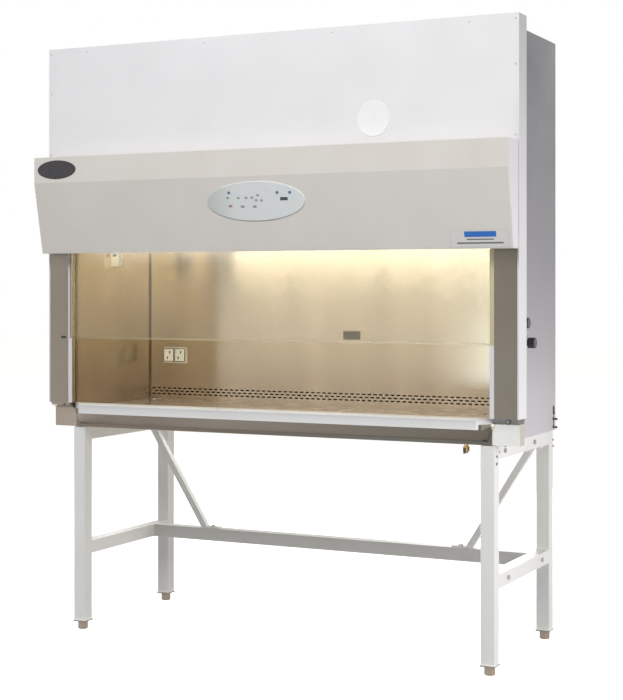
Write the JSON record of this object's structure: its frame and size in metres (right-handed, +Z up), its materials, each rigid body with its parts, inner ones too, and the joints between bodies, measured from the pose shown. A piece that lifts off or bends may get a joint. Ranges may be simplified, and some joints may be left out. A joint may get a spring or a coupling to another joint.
{
  "type": "biological safety cabinet",
  "caption": "Six-foot class II biological safety cabinet on an open tube stand, with a sliding glass sash, a swing-up control hood and a stainless work zone.",
  "frame": {"origin": "on the floor under the middle of the whole box", "axes": "+Z up, +Y to the rear, +X to the right of the person who sits at it"},
  "size_m": [1.972, 0.846, 2.337],
  "materials": {
    "stand_paint": "satin",
    "foot_metal": "satin",
    "zinc": "satin",
    "stainless": "brushed",
    "body_steel": "satin",
    "armrest_finish": "satin",
    "white_paint": "gloss",
    "guide_white": "satin",
    "hood_paint": "satin",
    "panel_plastic": "gloss",
    "sash_glass": "clear",
    "lamp_white": "gloss",
    "lamp_glass": "frosted",
    "ivory_plastic": "matte",
    "vent_metal": "matte",
    "sheet_steel": "satin",
    "wheel_alloy": "satin",
    "motor_casting": "matte",
    "filter_media": "matte",
    "weight_iron": "matte",
    "pulley_plastic": "satin",
    "cable_steel": "satin",
    "knob_plastic": "satin",
    "valve_brass": "satin"
  },
  "bodies": {
    "cabinet": {"leg_front_left": "stand_paint", "leg_front_right": "stand_paint", "leg_rear_left": "stand_paint", "leg_rear_right": "stand_paint", "stand_top_rails": "stand_paint", "stand_lower_rails": "stand_paint", "cross_rail": "stand_paint", "braces": "stand_paint", "stand_bolts": "zinc", "hood_hinge_fixed": "zinc", "front_sill": "stainless", "front_grille": "stainless", "work_surface": "stainless", "inner_side_walls": "stainless", "rear_wall": "stainless", "post_covers": "stainless", "diffuser": "stainless", "base_pan": "stainless", "side_panel_left": "body_steel", "side_panel_right": "body_steel", "rear_panel": "body_steel", "top_panel": "body_steel", "exhaust_guard": "body_steel", "armrest": "armrest_finish", "column_left": "white_paint", "column_right": "white_paint", "front_panel": "white_paint", "round_cap": "white_paint", "sash_guides": "guide_white", "lamp_fixture": "lamp_white", "lamp_tubes": "lamp_glass", "outlet_plate": "ivory_plastic", "wall_socket": "ivory_plastic", "vent_louvre": "vent_metal", "plenum": "sheet_steel", "blower_housing": "sheet_steel", "blower_motor": "motor_casting", "supply_filter": "filter_media", "exhaust_filter": "filter_media", "sash_cable_arcs": "cable_steel", "sash_cable_front_falls": "cable_steel", "sash_cable_rear_falls": "cable_steel", "drain_valve": "valve_brass"},
    "sash": {"sash_glass": "sash_glass", "sash_trim": "stainless"},
    "counterweights": {"counterweights": "weight_iron"},
    "pulley_left": {"pulley_left": "pulley_plastic"},
    "pulley_right": {"pulley_right": "pulley_plastic"},
    "hood": {"hood": "hood_paint", "control_panel": "panel_plastic"},
    "blower_wheel": {"blower_wheel": "wheel_alloy"},
    "service_knob_upper": {"service_knob_upper": "knob_plastic"},
    "service_knob_lower": {"service_knob_lower": "knob_plastic"},
    "drain_handle": {"drain_handle": "valve_brass"},
    "outlet_cover_left": {"outlet_cover_left": "ivory_plastic"},
    "outlet_cover_right": {"outlet_cover_right": "ivory_plastic"},
    "levelling_foot_front_left": {"levelling_foot_front_left": "foot_metal"},
    "levelling_foot_front_right": {"levelling_foot_front_right": "foot_metal"},
    "levelling_foot_rear_left": {"levelling_foot_rear_left": "foot_metal"},
    "levelling_foot_rear_right": {"levelling_foot_rear_right": "foot_metal"}
  },
  "joints": [
    {"name": "sash_slide", "type": "slide", "parent": "cabinet", "child": "sash", "axis": [0, 0, 1], "range_m": [-0.254, 0.279], "deforming": ["sash_cable_front_falls"]},
    {"name": "counterweight_slide", "type": "slide", "parent": "cabinet", "child": "counterweights", "axis": [0, 0, 1], "range_m": [-0.279, 0.254], "deforming": ["sash_cable_rear_falls"]},
    {"name": "pulley_right_spin", "type": "hinge", "parent": "cabinet", "child": "pulley_right", "pos_m": [0.928, -0.273, 2.25], "axis": [0, 1, 0], "range_deg": [-729, 801]},
    {"name": "pulley_left_spin", "type": "hinge", "parent": "cabinet", "child": "pulley_left", "pos_m": [-0.928, -0.273, 2.25], "axis": [0, 1, 0], "range_deg": [-801, 729]},
    {"name": "hood_swing", "type": "hinge", "parent": "cabinet", "child": "hood", "pos_m": [0, -0.322, 1.875], "axis": [-1, 0, 0], "range_deg": [0, 70]},
    {"name": "blower_spin", "type": "hinge", "parent": "cabinet", "child": "blower_wheel", "pos_m": [0, 0.003, 1.955], "axis": [1, 0, 0], "continuous": true},
    {"name": "service_knob_upper_turn", "type": "hinge", "parent": "cabinet", "child": "service_knob_upper", "pos_m": [0.889, -0.017, 1.237], "axis": [1, 0, 0], "range_deg": [0, 90]},
    {"name": "service_knob_lower_turn", "type": "hinge", "parent": "cabinet", "child": "service_knob_lower", "pos_m": [0.889, 0.058, 1.162], "axis": [1, 0, 0], "range_deg": [0, 90]},
    {"name": "drain_handle_turn", "type": "hinge", "parent": "cabinet", "child": "drain_handle", "pos_m": [0.769, -0.255, 0.793], "axis": [0, -1, 0], "range_deg": [0, 90]},
    {"name": "outlet_cover_right_flip", "type": "hinge", "parent": "cabinet", "child": "outlet_cover_right", "pos_m": [-0.702, 0.26325, 1.078], "axis": [0, 0, 1], "range_deg": [0, 95], "stiffness_Nm_per_rad": 0.01, "springref_deg": -17.19},
    {"name": "outlet_cover_left_flip", "type": "hinge", "parent": "cabinet", "child": "outlet_cover_left", "pos_m": [-0.796, 0.26325, 1.078], "axis": [0, 0, -1], "range_deg": [0, 95], "stiffness_Nm_per_rad": 0.01, "springref_deg": -17.19},
    {"name": "levelling_foot_front_left_screw", "type": "slide", "parent": "cabinet", "child": "levelling_foot_front_left", "axis": [0, 0, -1], "range_m": [0, 0.02]},
    {"name": "levelling_foot_front_right_screw", "type": "slide", "parent": "cabinet", "child": "levelling_foot_front_right", "axis": [0, 0, -1], "range_m": [0, 0.02]},
    {"name": "levelling_foot_rear_left_screw", "type": "slide", "parent": "cabinet", "child": "levelling_foot_rear_left", "axis": [0, 0, -1], "range_m": [0, 0.02]},
    {"name": "levelling_foot_rear_right_screw", "type": "slide", "parent": "cabinet", "child": "levelling_foot_rear_right", "axis": [0, 0, -1], "range_m": [0, 0.02]}
  ],
  "couplings": [
    {"joint": "counterweight_slide", "follows": "sash_slide", "ratio": -1},
    {"joint": "pulley_right_spin", "follows": "sash_slide", "rad_per_m": 50},
    {"joint": "pulley_left_spin", "follows": "sash_slide", "rad_per_m": -50}
  ]
}
